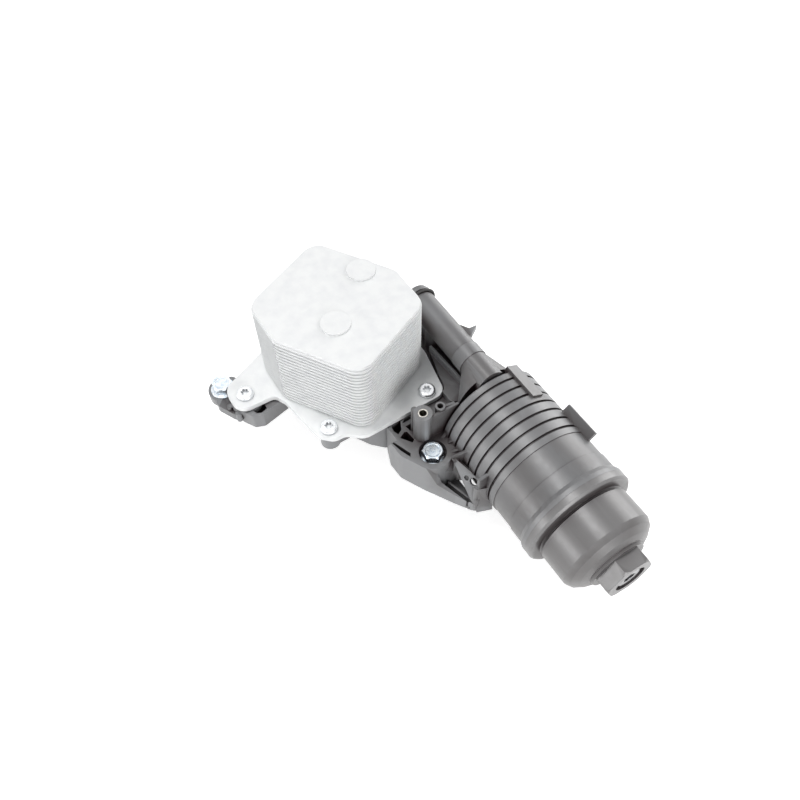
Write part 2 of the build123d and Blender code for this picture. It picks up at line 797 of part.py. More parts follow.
def cap():
    """Screw cap: threaded skirt, rim, neck, cup, dome, collar and hexagon."""
    skirt_x = mouth_x - cap_skirt_length
    rim_x = mouth_x + cap_rim_length
    neck_x = rim_x + cap_neck_length
    collar_x = cap_dome_x + cap_collar_length
    cup_bore = cap_cup_radius - cap_wall
    groove = cap_seal_wire * 1.5
    seal_floor = thread_bore_radius - seal_gap - 2 * cap_seal_wire - seal_gap
    body = turned(
        [
            (skirt_x, cap_skirt_bore_radius),
            (skirt_x, cap_skirt_radius - 1),
            (skirt_x + 1, cap_skirt_radius),
            (cap_seal_x - groove, cap_skirt_radius),
            (cap_seal_x - groove, seal_floor),
            (cap_seal_x + groove, seal_floor),
            (cap_seal_x + groove, cap_skirt_radius),
            (mouth_x, cap_skirt_radius),
            (mouth_x, mouth_rim_radius),
            (rim_x - 1.5, mouth_rim_radius),
            (rim_x, mouth_rim_radius - 1.5),
            (rim_x + 0.5, cap_neck_radius + 1),
            (rim_x + 1.5, cap_neck_radius),
            (neck_x - 1, cap_neck_radius),
            (neck_x, cap_cup_radius),
            (cap_cup_end_x, cap_cup_radius),
            (cap_cup_end_x + 4, cap_cup_radius - 2.2),
            (cap_cup_end_x + 7.5, cap_cup_radius - 7),
            (cap_dome_x, cap_collar_radius + 1.5),
            (cap_dome_x, cap_collar_radius),
            (collar_x, cap_collar_radius - 0.7),
            (collar_x, 0),
            (bore_cover_x, 0),
            (bore_cover_x, cap_collar_radius - 1),
            (cap_cup_end_x + 2, cup_bore - 3),
            (cap_cup_end_x - 2, cup_bore),
            (rim_x, cup_bore),
            (mouth_x, cap_skirt_bore_radius),
        ]
    )
    nut = facing_cap(collar_x - 1) * Rotation(0, 0, hex_turn) * extrude(
        hexagon(hex_across_flats), hex_end_x - collar_x + 1
    )
    corner = hex_across_flats / math.sqrt(3)
    chamfer_cone = turned(
        [
            (collar_x - 2, 0),
            (collar_x - 2, corner + 1),
            (hex_end_x - 2, corner + 0.2),
            (hex_end_x, corner - 1.6),
            (hex_end_x, 0),
        ]
    )
    body += nut & chamfer_cone
    recess_x = hex_end_x - plug_recess_depth
    boss = rod(recess_x - plug_shank_length - 1.5, bore_cover_x + 1, plug_bore_radius + cap_wall)
    body += boss
    body -= rod(recess_x, hex_end_x + 1, plug_recess_radius)
    body -= rod(recess_x - plug_shank_length - 3, recess_x + 1, plug_bore_radius)
    seal_pocket = plug_seal_wire + 0.3
    body -= rod(recess_x - 2 * plug_seal_wire, recess_x + 1, plug_bore_radius + 2 * seal_pocket)
    return body.solid()


def cap_seal():
    """O-ring in the groove of the cap's skirt."""
    return ring(cap_seal_x, thread_bore_radius - seal_gap - cap_seal_wire, cap_seal_wire)


def drain_plug():
    """Drain plug with a round head and a six-sided socket."""
    head_x = hex_end_x - plug_recess_depth
    end_x = head_x + plug_head_length
    body = turned(
        [
            (head_x - plug_shank_length, 0),
            (head_x - plug_shank_length, plug_shank_radius - 1),
            (head_x - plug_shank_length + 1, plug_shank_radius),
            (head_x, plug_shank_radius),
            (head_x, plug_head_radius),
            (end_x - 0.6, plug_head_radius),
            (end_x, plug_head_radius - 0.6),
            (end_x, 0),
        ]
    )
    socket = facing_cap(end_x - plug_socket_depth) * extrude(
        hexagon(plug_socket_across_flats), plug_socket_depth + 1
    )
    return (body - socket).solid()


def drain_plug_seal():
    """O-ring under the drain plug's head."""
    x = hex_end_x - plug_recess_depth - plug_seal_wire
    return ring(x, plug_shank_radius + seal_gap + plug_seal_wire, plug_seal_wire)


def filter_media():
    """Pleated paper as a folded star."""
    points = []
    for index in range(2 * pleat_count):
        radius = media_radius if index % 2 else media_inner_radius
        angle = math.pi * index / pleat_count
        points.append((radius * math.cos(angle), radius * math.sin(angle)))
    star = make_face(Polyline(*points, close=True))
    hole = Circle(core_radius + seal_gap)
    paper = extrude(star - hole, media_end_x - media_start_x)
    return facing_cap(media_start_x) * paper


def filter_end_cap(x0, x1, bore):
    """Disc glued to one end of the pleats."""
    return (rod(x0, x1, end_cap_radius) - rod(x0 - 1, x1 + 1, bore)).solid()


def inner_end_cap():
    """End disc with the sealing spigot that sits over the standpipe's root."""
    disc_x = media_start_x - end_cap_thickness
    spigot_bore = standpipe_radius + 2 * spigot_seal_wire + 0.4
    body = filter_end_cap(disc_x, media_start_x, spigot_bore)
    spigot = rod(disc_x - spigot_length, disc_x + 0.5, spigot_radius)
    spigot -= rod(disc_x - spigot_length - 1, disc_x + 1, spigot_bore)
    return (body + spigot).solid()


def filter_core():
    """Slotted tube inside the pleats."""
    body = rod(media_start_x, media_end_x, core_radius)
    body -= rod(media_start_x - 1, media_end_x + 1, core_radius - core_wall)
    length = (media_end_x - media_start_x) / core_slot_rows
    for row in range(core_slot_rows):
        x = media_start_x + (row + 0.5) * length
        for index in range(core_slot_count // 2):
            turn = 360 * index / core_slot_count
            slot = Box(2 * core_radius + 2, core_slot_width, length - 5)
            body -= facing_cap(x) * Rotation(0, 0, turn) * slot
    return body.solid()


def spigot_seal():
    """O-ring between the filter's spigot and the standpipe."""
    x = media_start_x - end_cap_thickness - spigot_length / 2
    return ring(x, standpipe_radius + seal_gap + spigot_seal_wire, spigot_seal_wire)


def standpipe():
    """Tube pressed into the bowl's outlet, with windows and the spring's ledge."""
    body = rod(standpipe_root_x, standpipe_end_x, standpipe_radius)
    body -= rod(standpipe_root_x - 1, standpipe_end_x + 1, standpipe_bore_radius)
    ledge_x = standpipe_end_x - bypass_poppet_length - bypass_spring_length - bypass_ledge_length
    ledge = rod(ledge_x, ledge_x + bypass_ledge_length, standpipe_bore_radius + 0.5)
    body += ledge - rod(ledge_x - 1, ledge_x + bypass_ledge_length + 1, bypass_ledge_radius)
    window = Box(2 * standpipe_radius + 2, standpipe_window_width, standpipe_window_length)
    for index in range(standpipe_window_count):
        x = standpipe_window_x + index * standpipe_window_pitch
        for turn in (0, 90):
            body -= facing_cap(x) * Rotation(0, 0, turn) * window
    return body.solid()


def bypass_seat():
    """Seat ring on the standpipe's end."""
    x1 = standpipe_end_x + bypass_seat_length
    body = rod(standpipe_end_x, x1, standpipe_radius)
    return (body - rod(standpipe_end_x - 1, x1 + 1, bypass_hole_radius)).solid()


def bypass_poppet():
    """Poppet disc with its guide stem."""
    x0 = standpipe_end_x - bypass_poppet_length
    body = rod(x0, standpipe_end_x, bypass_poppet_radius)
    body += rod(x0 - bypass_stem_length, x0 + 0.5, bypass_stem_radius)
    return body.solid()


def bypass_spring():
    """Spring between the standpipe's ledge and the poppet."""
    x0 = standpipe_end_x - bypass_poppet_length - bypass_spring_length
    return coil(x0, bypass_spring_length, bypass_spring_radius, bypass_spring_wire, bypass_spring_turns)


def check_seat():
    """Seat ring in the bowl's floor with its three-legged cage."""
    x0 = bowl_floor_x - check_seat_length
    top = bowl_floor_x + check_cage_height
    body = rod(x0, bowl_floor_x, check_seat_radius, check_y, check_z)
    body -= rod(x0 - 1, bowl_floor_x + 1, check_hole_radius, check_y, check_z)
    cage = rod(bowl_floor_x - 0.5, top, check_seat_radius, check_y, check_z)
    cage -= rod(bowl_floor_x - 1, top - check_cage_wall, check_disc_radius + running_gap, check_y, check_z)
    cage -= rod(top - 2 * check_cage_wall, top + 1, check_spring_radius - 1, check_y, check_z)
    window = Box(check_disc_radius, check_disc_radius, check_cage_height - 2 * check_cage_wall)
    gap = Pos(0, check_disc_radius, check_cage_height / 2) * window
    frame = Pos(bowl_floor_x, check_y, check_z) * Rotation(0, 90, 0)
    for index in range(check_cage_leg_count):
        cage -= frame * Rotation(0, 0, 360 * index / check_cage_leg_count) * gap
    return (body + cage).solid()


def check_disc():
    """Disc that closes the check valve."""
    return rod(bowl_floor_x, bowl_floor_x + check_disc_thickness, check_disc_radius, check_y, check_z)


def check_spring():
    """Spring between the check valve's disc and its cage."""
    x0 = bowl_floor_x + check_disc_thickness
    length = check_cage_height - check_cage_wall - check_disc_thickness
    return coil(x0, length, check_spring_radius, check_spring_wire, check_spring_turns, check_y, check_z)


def pipe_seal():
    """O-ring on the coolant pipe's end."""
    frame = Pos(pipe_end_x + pipe_seal_from_end, pipe_y, pipe_z) * Rotation(0, 90, 0)
    return frame * Torus(pipe_radius + seal_gap + pipe_seal_wire, pipe_seal_wire)


def base_plate_blank(z, thickness, margin=0.0):
    """The base plate's outline as a prism, grown by a margin."""
    face = rounded(base_plate_outline)
    if margin:
        face = offset(face, margin)
    return Pos(0, 0, z) * extrude(face, thickness)


def cooler_ports():
    """Cutter for the four ports between the cooler and the housing."""
    places = (oil_in_place, oil_out_place, coolant_in_place, coolant_out_place)
    top = seat_z + gasket_thickness + base_plate_thickness
    return posts(places, seat_z - 1, top + 1, channel_radius)


def cooler_gasket():
    """Rubber gasket between the housing's seat and the cooler."""
    body = base_plate_blank(seat_z, gasket_thickness, -gasket_inset)
    body -= posts(screw_places, seat_z - 1, seat_z + gasket_thickness + 1, insert_radius + 1)
    return (body - cooler_ports()).solid()


def cooler_base():
    """Thick base plate with its screw lobes."""
    z = seat_z + gasket_thickness
    body = base_plate_blank(z, base_plate_thickness)
    body -= posts(screw_places, z - 1, z + base_plate_thickness + 1, screw_hole_radius)
    return (body - cooler_ports()).solid()


def cooler_plates():
    """Brazed stack of nested dishes, each flared towards its rim."""
    z = seat_z + gasket_thickness + base_plate_thickness
    body = Part()
    flare_angle = math.degrees(math.atan(plate_flare / plate_pitch))
    for index in range(plate_count):
        dish = extrude(stack_face(-plate_flare), plate_pitch, taper=-flare_angle)
        body += Pos(0, 0, z + index * plate_pitch) * dish
    return body


def cooler_top():
    """Plate that closes the stack, with its two raised blanks."""
    z = seat_z + gasket_thickness + base_plate_thickness + plate_count * plate_pitch
    body = Pos(0, 0, z) * extrude(stack_face(-plate_flare), top_plate_thickness)
    for place in (oil_in_place, coolant_out_place):
        blank_z = z + top_plate_thickness
        body += post(place, blank_z, blank_z + top_blank_height, top_blank_radius)
    return body.solid()


def screw_socket():
    """Six-lobed socket cutter, from its floor upwards."""
    face = Circle(screw_socket_radius)
    for index in range(socket_lobe_count):
        face += Rotation(0, 0, 360 * index / socket_lobe_count) * Pos(screw_socket_radius, 0) * Circle(0.7)
    return extrude(face, screw_head_height)


def cooler_screws():
    """Four pan-head screws with six-lobed sockets."""
    head_z = seat_z + gasket_thickness + base_plate_thickness
    head_top = head_z + screw_head_height
    solids = []
    for place in screw_places:
        head = post(place, head_z, head_top, screw_head_radius)
        head = fillet(head.edges().group_by(Axis.Z)[-1], screw_head_rounding)
        head += post(place, screw_tip_z, head_z + 0.5, screw_radius)
        head -= Pos(place[0], place[1], head_top - screw_socket_depth) * screw_socket()
        solids.append(head.solid())
    return Compound(solids)


def screw_inserts():
    """Threaded brass inserts in the housing for the cooler's screws."""
    solids = []
    for place in screw_places:
        body = post(place, seat_z - insert_length, seat_z, insert_radius)
        body -= post(place, seat_z - insert_length - 1, seat_z + 1, screw_radius + 0.05)
        solids.append(body.solid())
    return Compound(solids)


def tower_insert():
    """Threaded brass insert in the tower."""
    z0 = tower_top_z - tower_insert_length
    body = post(tower_place, z0, tower_top_z, tower_insert_radius)
    return (body - post(tower_place, z0 - 1, tower_top_z + 1, tower_hole_radius)).solid()


def bolt_head(place):
    """Flange and chamfered hexagon of a mounting bolt."""
    top = bolt_seat_z + bolt_head_height
    corner = bolt_hex_across_flats / math.sqrt(3)
    flange_z = bolt_seat_z + bolt_flange_height
    flange = post(place, bolt_seat_z, flange_z, bolt_flange_radius)
    flange = chamfer(flange.edges().group_by(Axis.Z)[-1], bolt_flange_height * 0.6)
    hexagon_head = Pos(place[0], place[1], flange_z) * extrude(hexagon(bolt_hex_across_flats), top - flange_z)
    crown = post(place, flange_z, top, corner)
    crown = chamfer(crown.edges().group_by(Axis.Z)[-1], bolt_hex_chamfer)
    return flange + (hexagon_head & crown)


def mounting_bolts():
    """Flange bolts with hexagon heads, waisted shanks and threaded ends."""
    solids = []
    for place, foot_z in zip(bolt_places, bolt_foot_z):
        body = bolt_head(place)
        body += post(place, foot_z - 0.5, bolt_seat_z + 1, bolt_waist_radius)
        body += post(place, foot_z - bolt_thread_length, foot_z, bolt_radius)
        solids.append(body.solid())
    return Compound(solids)


def bolt_sleeves():
    """Steel sleeves that carry the bolts' clamping load through the moulding."""
    solids = []
    for place, foot_z in zip(bolt_places, bolt_foot_z):
        body = post(place, foot_z, bolt_seat_z, sleeve_radius)
        solids.append((body - post(place, foot_z - 1, bolt_seat_z + 1, sleeve_bore_radius)).solid())
    return Compound(solids)


pieces = {
    "filter_housing": housing,
    "filter_cap": cap,
    "cap_seal_ring": cap_seal,
    "drain_plug": drain_plug,
    "drain_plug_seal": drain_plug_seal,
    "filter_media": filter_media,
    "filter_end_cap_inner": inner_end_cap,
    "filter_end_cap_outer": lambda: filter_end_cap(media_end_x, media_end_x + end_cap_thickness, 4.0),
    "filter_core": filter_core,
    "filter_spigot_seal": spigot_seal,
    "standpipe": standpipe,
    "bypass_valve_seat": bypass_seat,
    "bypass_poppet": bypass_poppet,
    "bypass_spring": bypass_spring,
    "check_valve_seat": check_seat,
    "check_valve_disc": check_disc,
    "check_valve_spring": check_spring,
    "pipe_seal_ring": pipe_seal,
    "cooler_gasket": cooler_gasket,
    "cooler_base_plate": cooler_base,
    "cooler_plates": cooler_plates,
    "cooler_top_plate": cooler_top,
    "cooler_screws": cooler_screws,
    "screw_inserts": screw_inserts,
    "tower_insert": tower_insert,
    "mounting_bolts": mounting_bolts,
    "bolt_sleeves": bolt_sleeves,
    "port_seals": port_seals,
}

os.makedirs("parts", exist_ok=True)
for name, make in pieces.items():
    export_step(make(), os.path.join("parts", name + ".step"))
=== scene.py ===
import json
import math

import bmesh
import bpy
from mathutils import Matrix, Vector


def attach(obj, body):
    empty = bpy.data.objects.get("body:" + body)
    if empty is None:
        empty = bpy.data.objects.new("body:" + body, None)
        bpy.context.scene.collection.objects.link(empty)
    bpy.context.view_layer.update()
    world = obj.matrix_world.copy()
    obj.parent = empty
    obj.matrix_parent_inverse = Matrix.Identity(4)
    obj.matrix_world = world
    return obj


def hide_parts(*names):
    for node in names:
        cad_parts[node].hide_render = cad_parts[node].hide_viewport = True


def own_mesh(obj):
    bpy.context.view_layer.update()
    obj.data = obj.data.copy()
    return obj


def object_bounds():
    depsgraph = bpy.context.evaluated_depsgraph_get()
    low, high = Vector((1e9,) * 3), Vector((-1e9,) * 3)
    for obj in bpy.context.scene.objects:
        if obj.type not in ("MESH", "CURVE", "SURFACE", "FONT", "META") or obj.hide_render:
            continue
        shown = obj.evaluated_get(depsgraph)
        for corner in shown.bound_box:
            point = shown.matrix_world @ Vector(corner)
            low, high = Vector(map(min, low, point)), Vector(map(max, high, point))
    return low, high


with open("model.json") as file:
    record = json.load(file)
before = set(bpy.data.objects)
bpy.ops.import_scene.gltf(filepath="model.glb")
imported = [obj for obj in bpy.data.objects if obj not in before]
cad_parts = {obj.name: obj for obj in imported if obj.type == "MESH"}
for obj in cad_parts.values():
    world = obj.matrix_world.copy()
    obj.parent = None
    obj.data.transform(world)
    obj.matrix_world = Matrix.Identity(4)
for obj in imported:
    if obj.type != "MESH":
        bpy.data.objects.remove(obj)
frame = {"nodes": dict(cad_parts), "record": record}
cad_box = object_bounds()

# One millimetre in metres, the unit of the scene
MM = 0.001

WHITE = (1.0, 1.0, 1.0)

# Camera, fitted to the photograph, with a square picture: its place in metres and its directions
CAMERA_PLACE = Vector((0.2285, -0.1646, 0.4924))
CAMERA_RIGHT = Vector((0.5333, 0.8459, -0.0102))
CAMERA_DOWN = Vector((0.6898, -0.4419, -0.5735))
CAMERA_FORWARD = Vector((-0.4896, 0.2988, -0.8192))
CAMERA_CLIP_START = 0.01

# Focal length and sensor width, in millimetres
CAMERA_LENS = 36.0
CAMERA_SENSOR = 36.0

# Bolts, M8 with a coarse thread, in millimetres: the same main sizes as the plain bolts in the solids
BOLT_MOUNTS = ("main_bolt", "outer_bolt", "back_bolt")
BOLT_SEAT_Z = 24.0
BOLT_THREAD_LENGTH = 18.0
BOLT_RADIUS = 4.0
BOLT_ROOT_RADIUS = 3.4
BOLT_TIP_RADIUS = 2.9
BOLT_TIP_LENGTH = 0.6
BOLT_WAIST_RADIUS = 3.6
BOLT_PITCH = 1.25
BOLT_FLANGE_RADIUS = 8.9
BOLT_FLANGE_HEIGHT = 2.0
BOLT_RIM_HEIGHT = 0.8
BOLT_HEX_ACROSS_FLATS = 13.0
BOLT_HEAD_HEIGHT = 8.0
BOLT_CORNER_CUT = 1.0
BOLT_DISH_RADIUS = 5.3
BOLT_DISH_FLOOR_RADIUS = 4.8
BOLT_DISH_DEPTH = 0.4
BOLT_EDGE = 0.3

# How far the bolts' hexagons are turned about their axis, in radians
BOLT_TURN = 0.45

# Rings to one pitch of the bolts' thread, points to one ring, and how steep a flank is
BOLT_ROWS_PER_PITCH = 8
BOLT_COLUMNS = 96
BOLT_FLANK_SLOPE = 1.25

# Thread on the cap's skirt, in the narrow gap between the skirt and the bowl, in millimetres
CAP_THREAD_RADIUS = 35.7
CAP_THREAD_HEIGHT = 0.22
CAP_THREAD_SINK = 0.15
CAP_THREAD_HALF_FOOT = 1.1
CAP_THREAD_HALF_CREST = 0.6
CAP_THREAD_START_X = 66.0
CAP_THREAD_PITCH = 4.0

# The same thread in turns: its whole run, and the part of a turn in which it rises and falls
CAP_THREAD_TURNS = 2.7
CAP_THREAD_RUN_OUT = 0.25
CAP_THREAD_STEPS_PER_TURN = 72
CAP_THREAD_END_HEIGHT = 0.05

# How far each valve lifts, in millimetres
BYPASS_LIFT = 3.5
CHECK_LIFT = 2.0

# Moulded floor and rib in the skirt's open pocket beside the main bolt, in millimetres
POCKET_FLOOR = ((13.0, -3.5), (15.0, 12.5), (27.0, 12.5), (37.5, 9.8), (37.5, 5.6), (20.0, -1.9))
POCKET_FLOOR_Z = (0.6, 3.0)
POCKET_RIB = ((14.5, 3.6), (16.0, 2.4), (35.4, 8.0), (35.0, 9.6))
POCKET_RIB_Z = (2.6, 9.0)
POCKET_EDGE = 0.3
POCKET_EDGE_SEGMENTS = 2

# Floor, in metres, and how bright it is for a lens
FLOOR_SIZE = 60.0
FLOOR_DROP = 0.0004
FLOOR_COLOUR = (0.86, 0.86, 0.86)
FLOOR_ROUGHNESS = 0.9
FLOOR_SEEN = 0.68

# Surroundings: how strongly they light the object, and how bright they are for a lens
WORLD_LIGHT = 0.32
WORLD_SEEN = 1.0

# Lamps: name, place and width in metres, and power in watts
LAMPS = (
    ("low_front", (-0.30, -1.30, 0.10), 0.6, 9.0),
    ("far_side", (-0.35, 1.30, 0.45), 0.9, 12.0),
    ("right_front", (1.30, -0.10, 0.35), 0.7, 10.0),
    ("overhead", (-0.35, -0.20, 1.30), 0.4, 8.0),
)

# Rays that a bevel and a recess take to find what is near
BEVEL_SAMPLES = 6
RECESS_SAMPLES = 8

# Pointiness of a flat surface, and how quickly wear sets in past the edge where it starts
FLAT_POINTINESS = 0.5
WEAR_SPREAD = 0.08

# Places of the mixing node's two colours and of its result, whose names it uses more than once
MIX_FIRST = 6
MIX_SECOND = 7
MIX_RESULT = 2


def opaque(colour):
    """A colour with its alpha."""
    return (*colour, 1.0)


def brighter(colour, gain):
    """A colour made lighter, up to white."""
    return tuple(min(1.0, gain * value) for value in colour)


class Shader:
    """A small helper that builds one node-based material."""

    def __init__(self, name):
        self.material = bpy.data.materials.new(name)
        self.material.use_nodes = True
        self.nodes = self.material.node_tree.nodes
        self.links = self.material.node_tree.links
        self.surface = self.nodes["Principled BSDF"]
        self.place = self.nodes.new("ShaderNodeNewGeometry").outputs["Position"]

    def link(self, source, target):
        """Join an output to an input."""
        self.links.new(source, target)

    def noise(self, scale, detail, stretch=(1.0, 1.0, 1.0)):
        """Noise on the object's own place, per metre."""
        mapping = self.nodes.new("ShaderNodeMapping")
        mapping.inputs["Scale"].default_value = stretch
        self.link(self.place, mapping.inputs["Vector"])
        noise = self.nodes.new("ShaderNodeTexNoise")
        noise.inputs["Scale"].default_value = scale
        noise.inputs["Detail"].default_value = detail
        self.link(mapping.outputs["Vector"], noise.inputs["Vector"])
        return noise.outputs["Fac"]

    def ramp(self, factor, low, high, start, end):
        """Two colours spread along a factor."""
        ramp = self.nodes.new("ShaderNodeValToRGB")
        for stop, position, colour in zip(ramp.color_ramp.elements, (start, end), (low, high)):
            stop.position = position
            stop.color = opaque(colour)
        self.link(factor, ramp.inputs["Fac"])
        return ramp.outputs["Color"]

    def span(self, factor, low, high):
        """A factor of 0 to 1 spread between two values."""
        spread = self.nodes.new("ShaderNodeMapRange")
        spread.inputs["To Min"].default_value = low
        spread.inputs["To Max"].default_value = high
        self.link(factor, spread.inputs["Value"])
        return spread.outputs["Result"]

    def mix(self, factor, first, second):
        """Two colours mixed by a factor, each a plain colour or an output."""
        mixer = self.nodes.new("ShaderNodeMix")
        mixer.data_type = "RGBA"
        self.link(factor, mixer.inputs["Factor"])
        for socket, value in ((MIX_FIRST, first), (MIX_SECOND, second)):
            if isinstance(value, tuple):
                mixer.inputs[socket].default_value = opaque(value)
            else:
                self.link(value, mixer.inputs[socket])
        return mixer.outputs[MIX_RESULT]

    def bevel(self, radius):
        """Rounded look along hard edges."""
        bevel = self.nodes.new("ShaderNodeBevel")
        bevel.samples = BEVEL_SAMPLES
        bevel.inputs["Radius"].default_value = radius
        return bevel.outputs["Normal"]

    def bump(self, height, distance, strength, normal=None):
        """Fine relief, chained onto an optional normal."""
        bump = self.nodes.new("ShaderNodeBump")
        bump.inputs["Distance"].default_value = distance
        bump.inputs["Strength"].default_value = strength
        self.link(height, bump.inputs["Height"])
        if normal is not None:
            self.link(normal, bump.inputs["Normal"])
        return bump.outputs["Normal"]

    def edge_wear(self, start):
        """Factor that is 1 on worn outer edges, from the surface's pointiness."""
        pointy = self.nodes.new("ShaderNodeNewGeometry").outputs["Pointiness"]
        spread = self.nodes.new("ShaderNodeMapRange")
        spread.inputs["From Min"].default_value = FLAT_POINTINESS + start
        spread.inputs["From Max"].default_value = FLAT_POINTINESS + start + WEAR_SPREAD
        self.link(pointy, spread.inputs["Value"])
        return spread.outputs["Result"]

    def recess(self, reach):
        """Factor that is 0 deep in a recess and 1 in the open, for painting shade into recesses."""
        painted_shade = self.nodes.new("ShaderNodeAmbientOcclusion")
        painted_shade.samples = RECESS_SAMPLES
        painted_shade.inputs["Distance"].default_value = reach
        return painted_shade.outputs["AO"]

    def feed(self, **sources):
        """Link outputs to the shader's own sockets."""
        for name, source in sources.items():
            self.link(source, self.surface.inputs[name.replace("_", " ")])

    def set(self, **values):
        """Set plain numbers on the shader's own sockets."""
        for name, value in values.items():
            self.surface.inputs[name.replace("_", " ")].default_value = value


def moulded_nylon(name, base, shade, roughness):
    """Glass-filled nylon: grey with faint flow marks, a fine grain and painted warm shade in its recesses.
    """
    shader = Shader(name)
    flow = shader.noise(scale=55.0, detail=3.0, stretch=(0.35, 1.0, 1.0))
    colour = shader.ramp(flow, low=shade, high=base, start=0.3, end=0.7)
    # Painted shade: recesses darken towards a warm near-black, from ambient occlusion.
    painted_shade = shader.span(shader.recess(reach=12.0 * MM), low=-0.70, high=1.05)
    colour = shader.mix(painted_shade, (0.024, 0.015, 0.016), colour)
    worn = shader.edge_wear(start=0.02)
    colour = shader.mix(worn, colour, brighter(base, gain=1.35))
    patches = shader.noise(scale=300.0, detail=5.0)
    rough = shader.span(patches, low=roughness - 0.07, high=roughness + 0.09)
    grain = shader.noise(scale=4200.0, detail=3.0)
    relief = shader.bump(grain, distance=0.03 * MM, strength=0.35, normal=shader.bevel(0.35 * MM))
    shader.feed(Base_Color=colour, Roughness=rough, Normal=relief)
    shader.set(Specular_IOR_Level=0.6)
    return shader.material


def brazed_aluminium(name, base, shade, roughness):
    """Cooler sheet: pale aluminium with a dull braze bloom, faint rolling marks and painted shade in its
    recesses.
    """
    shader = Shader(name)
    bloom = shader.noise(scale=120.0, detail=6.0)
    colour = shader.ramp(bloom, low=shade, high=base, start=0.3, end=0.6)
    # Painted shade: recesses between the fins darken to a grey, from ambient occlusion.
    painted_shade = shader.span(shader.recess(reach=2.5 * MM), low=0.15, high=1.0)
    colour = shader.mix(painted_shade, (0.58, 0.59, 0.59), colour)
    rolled = shader.noise(scale=900.0, detail=4.0, stretch=(1.0, 0.05, 1.0))
    rough = shader.span(rolled, low=roughness - 0.06, high=roughness + 0.08)
    relief = shader.bump(bloom, distance=0.08 * MM, strength=0.25, normal=shader.bevel(0.3 * MM))
    shader.feed(Base_Color=colour, Roughness=rough, Normal=relief)
    shader.set(Metallic=0.1, Specular_IOR_Level=0.5)
    return shader.material


def plated_steel(name, base, shade, roughness):
    """Plated metal with small stains, turning marks and painted shade in its recesses."""
    shader = Shader(name)
    stain = shader.noise(scale=420.0, detail=6.0)
    colour = shader.ramp(stain, low=shade, high=base, start=0.35, end=0.6)
    # Painted shade: recesses darken towards a dark blue-grey, from ambient occlusion.
    painted_shade = shader.span(shader.recess(reach=2.0 * MM), low=0.2, high=1.0)
    colour = shader.mix(painted_shade, (0.10, 0.105, 0.12), colour)
    patches = shader.noise(scale=1500.0, detail=4.0)
    rough = shader.span(patches, low=roughness - 0.06, high=roughness + 0.1)
    marks = shader.noise(scale=2500.0, detail=2.0)
    relief = shader.bump(marks, distance=0.02 * MM, strength=0.3, normal=shader.bevel(0.25 * MM))
    shader.feed(Base_Color=colour, Roughness=rough, Normal=relief)
    shader.set(Metallic=1.0)
    return shader.material


def moulded_rubber(name, base):
    """Black seal rubber, slightly dusty."""
    shader = Shader(name)
    dust = shader.noise(scale=700.0, detail=6.0)
    colour = shader.ramp(dust, low=base, high=brighter(base, gain=1.8), start=0.4, end=0.8)
    rough = shader.span(dust, low=0.45, high=0.7)
    grain = shader.noise(scale=3000.0, detail=2.0)
    relief = shader.bump(grain, distance=0.02 * MM, strength=0.3)
    shader.feed(Base_Color=colour, Roughness=rough, Normal=relief)
    return shader.material


def filter_paper(name, base, shade):
    """Resin-treated filter paper with its fibre."""
    shader = Shader(name)
    fibre = shader.noise(scale=1800.0, detail=8.0)
    colour = shader.ramp(fibre, low=shade, high=base, start=0.35, end=0.65)
    relief = shader.bump(fibre, distance=0.05 * MM, strength=0.6)
    shader.feed(Base_Color=colour, Normal=relief)
    shader.set(Roughness=0.85)
    return shader.material


# Finish of each slot: what makes it, its main colour, its darker colour and its roughness
FINISHES = {
    "housing_nylon": (moulded_nylon, (0.150, 0.152, 0.157), (0.105, 0.100, 0.100), 0.37),
    "cap_nylon": (moulded_nylon, (0.142, 0.139, 0.140), (0.098, 0.092, 0.091), 0.33),
    "plug_steel": (plated_steel, (0.40, 0.40, 0.41), (0.24, 0.24, 0.25), 0.30),
    "cooler_alloy": (brazed_aluminium, (0.84, 0.85, 0.85), (0.78, 0.79, 0.80), 0.38),
    "rubber": (moulded_rubber, (0.020, 0.019, 0.019)),
    "paper": (filter_paper, (0.70, 0.58, 0.34), (0.50, 0.38, 0.18)),
    "filter_plastic": (moulded_nylon, (0.12, 0.12, 0.125), (0.08, 0.08, 0.085), 0.5),
    "standpipe_plastic": (moulded_nylon, (0.06, 0.06, 0.062), (0.04, 0.04, 0.042), 0.5),
    "valve_steel": (plated_steel, (0.60, 0.60, 0.62), (0.45, 0.45, 0.47), 0.32),
    "screw_steel": (plated_steel, (0.90, 0.91, 0.92), (0.80, 0.82, 0.84), 0.26),
    "bolt_steel": (plated_steel, (0.88, 0.93, 0.97), (0.62, 0.71, 0.80), 0.26),
    "brass": (plated_steel, (0.70, 0.68, 0.62), (0.55, 0.53, 0.47), 0.3),
}
materials = {slot_name: make(slot_name, *looks) for slot_name, (make, *looks) in FINISHES.items()}


def dress(piece, slot_name):
    """Put one finish on a piece."""
    piece.data.materials.clear()
    piece.data.materials.append(materials[slot_name])


node_slots = {part["node"]: part["material_slot"] for part in frame["record"]["subparts"]}
for node_name, piece in frame["nodes"].items():
    dress(piece, node_slots[node_name])


def add_piece(name, vertices, faces, body, slot_name):
    """One closed mesh, given in millimetres, that rides on a body."""
    mesh = bpy.data.meshes.new(name)
    mesh.from_pydata([tuple(value * MM for value in vertex) for vertex in vertices], [], faces)
    shape = bmesh.new()
    shape.from_mesh(mesh)
    bmesh.ops.recalc_face_normals(shape, faces=shape.faces)
    shape.to_mesh(mesh)
    shape.free()
    mesh.validate()
    piece = bpy.data.objects.new(name, mesh)
    bpy.context.collection.objects.link(piece)
    dress(piece, slot_name)
    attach(piece, body)
    return piece


